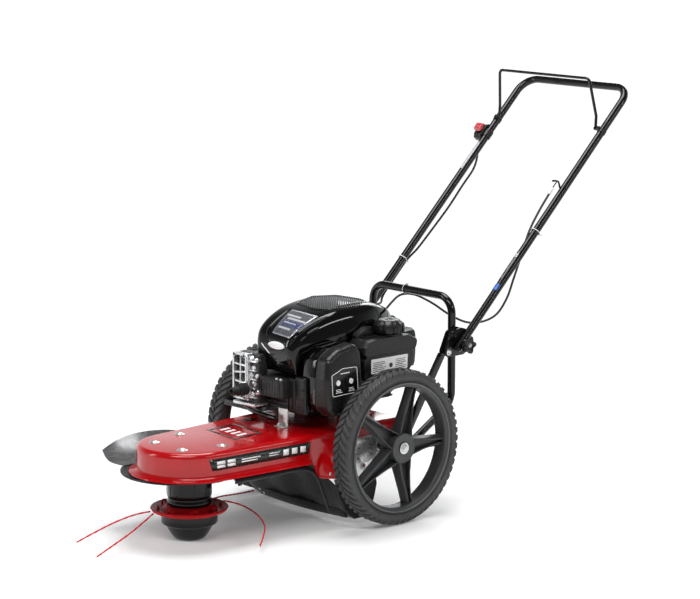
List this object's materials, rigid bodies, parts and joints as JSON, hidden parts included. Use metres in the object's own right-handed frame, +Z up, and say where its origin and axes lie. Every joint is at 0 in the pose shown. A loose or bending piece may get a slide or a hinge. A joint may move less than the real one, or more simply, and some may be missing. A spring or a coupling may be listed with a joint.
{
  "type": "brush mower",
  "caption": "Walk-behind brush mower with a string cutting head under a long red deck, a vertical-shaft engine, two tall spoked wheels and a folding tube handle.",
  "frame": {"origin": "on the ground, in the middle of the machine box without the cutting lines", "axes": "+Z up, +Y towards the operator, -Y towards the cutting head, +X the machine left side"},
  "size_m": [0.5096, 1.5526, 0.9753],
  "materials": {
    "red_paint": "gloss",
    "black_paint": "gloss",
    "black_plastic": "satin",
    "gloss_plastic": "gloss",
    "grey_plastic": "satin",
    "dark_plastic": "satin",
    "rubber": "matte",
    "tyre": "matte",
    "zinc": "satin",
    "aluminium": "satin",
    "engine_casting": "satin",
    "steel": "satin",
    "cast_iron": "matte",
    "red_plastic": "gloss",
    "trimmer_line": "satin"
  },
  "bodies": {
    "frame": {"deck_shell": "red_paint", "under_plate": "black_plastic", "debris_shield": "black_plastic", "side_deflector": "grey_plastic", "axle_left": "steel", "axle_right": "steel", "axle_plate_left": "zinc", "axle_plate_right": "zinc", "wheel_bolt_left": "zinc", "wheel_bolt_right": "zinc", "lower_handle": "black_paint", "brace_left": "black_paint", "brace_right": "black_paint", "handle_bracket_left": "black_paint", "handle_bracket_right": "black_paint", "stop_cable_lower": "black_plastic", "throttle_cable_lower": "black_plastic", "engine_block": "engine_casting", "cylinder_head": "aluminium", "spark_plug_boot": "rubber", "intake_duct": "dark_plastic", "muffler": "steel", "exhaust_guard": "black_paint", "blower_housing": "gloss_plastic", "intake_grille": "dark_plastic", "air_cleaner_base": "dark_plastic", "fuel_tank": "black_plastic", "drive_belt": "rubber", "spindle_housing": "dark_plastic", "bearing_lower": "steel", "bearing_upper": "steel"},
    "handle": {"upper_handle": "black_paint", "throttle_housing": "black_plastic", "stop_cable_upper": "black_plastic", "throttle_cable_upper": "black_plastic"},
    "bail": {"bail": "black_paint"},
    "throttle_lever": {"throttle_lever": "red_plastic"},
    "knob_left": {"knob_left": "black_plastic"},
    "knob_right": {"knob_right": "black_plastic"},
    "wheel_left": {"tyre_left": "tyre", "rim_left": "dark_plastic"},
    "wheel_right": {"tyre_right": "tyre", "rim_right": "dark_plastic"},
    "crank": {"crankshaft": "steel", "flywheel": "cast_iron", "crank_pulley": "steel"},
    "spindle": {"spindle_shaft": "steel", "spindle_pulley": "steel", "head_ring": "red_plastic", "line_a": "trimmer_line", "line_b": "trimmer_line", "line_c": "trimmer_line", "line_d": "trimmer_line"},
    "ground_ball": {"ground_ball": "black_plastic"},
    "idler_arm": {"idler_arm": "steel"},
    "idler_pulley": {"idler_pulley": "steel"},
    "fuel_cap": {"fuel_cap": "black_plastic"},
    "air_cleaner_cover": {"air_cleaner_cover": "black_plastic"},
    "recoil_grip": {"recoil_grip": "black_plastic"}
  },
  "joints": [
    {"name": "wheel_left_spin", "type": "hinge", "parent": "frame", "child": "wheel_left", "pos_m": [0.22075, -0.1261, 0.18], "axis": [1, 0, 0], "continuous": true},
    {"name": "wheel_right_spin", "type": "hinge", "parent": "frame", "child": "wheel_right", "pos_m": [-0.22075, -0.1261, 0.18], "axis": [1, 0, 0], "continuous": true},
    {"name": "crank_spin", "type": "hinge", "parent": "frame", "child": "crank", "pos_m": [0, -0.1271, 0.28], "axis": [0, 0, 1], "continuous": true},
    {"name": "spindle_spin", "type": "hinge", "parent": "frame", "child": "spindle", "pos_m": [0, -0.5571, 0.12], "axis": [0, 0, 1], "continuous": true},
    {"name": "ground_ball_spin", "type": "hinge", "parent": "spindle", "child": "ground_ball", "pos_m": [0, -0.5571, 0.03], "axis": [0, 0, 1], "continuous": true},
    {"name": "idler_arm_swing", "type": "hinge", "parent": "frame", "child": "idler_arm", "pos_m": [0.094, -0.2571, 0.2], "axis": [0, 0, 1], "range_deg": [0, 12], "stiffness_Nm_per_rad": 1, "springref_deg": -11.46},
    {"name": "idler_pulley_spin", "type": "hinge", "parent": "idler_arm", "child": "idler_pulley", "pos_m": [0.0675, -0.3371, 0.185], "axis": [0, 0, 1], "continuous": true},
    {"name": "handle_fold", "type": "hinge", "parent": "frame", "child": "handle", "pos_m": [0, 0.1239, 0.38], "axis": [1, 0, 0], "range_deg": [0, 108]},
    {"name": "knob_left_turn", "type": "hinge", "parent": "frame", "child": "knob_left", "pos_m": [0.1985, 0.1239, 0.38], "axis": [1, 0, 0], "continuous": true},
    {"name": "knob_right_turn", "type": "hinge", "parent": "frame", "child": "knob_right", "pos_m": [-0.1985, 0.1239, 0.38], "axis": [1, 0, 0], "continuous": true},
    {"name": "bail_squeeze", "type": "hinge", "parent": "handle", "child": "bail", "pos_m": [0, 0.5929, 0.8505], "axis": [1, 0, 0], "range_deg": [-50, 0], "stiffness_Nm_per_rad": 0.4, "springref_deg": 11.46},
    {"name": "throttle_lever_tilt", "type": "hinge", "parent": "handle", "child": "throttle_lever", "pos_m": [-0.1955, 0.5649, 0.814], "axis": [1, 0, 0], "range_deg": [-12, 12]},
    {"name": "fuel_cap_turn", "type": "hinge", "parent": "frame", "child": "fuel_cap", "pos_m": [0.138, -0.0721, 0.44], "axis": [0, 0, 1], "range_deg": [0, 120]},
    {"name": "air_cover_tip", "type": "hinge", "parent": "frame", "child": "air_cleaner_cover", "pos_m": [0.1398, -0.2521, 0.262], "axis": [0, 1, 0], "range_deg": [0, 12]},
    {"name": "recoil_pull", "type": "slide", "parent": "frame", "child": "recoil_grip", "axis": [0, 0.7071, 0.7071], "range_m": [0, 0.5], "stiffness_N_per_m": 20, "springref_m": -0.06}
  ],
  "couplings": [
    {"joint": "spindle_spin", "follows": "crank_spin", "ratio": 0.6341},
    {"joint": "idler_pulley_spin", "follows": "crank_spin", "ratio": -1.5}
  ]
}
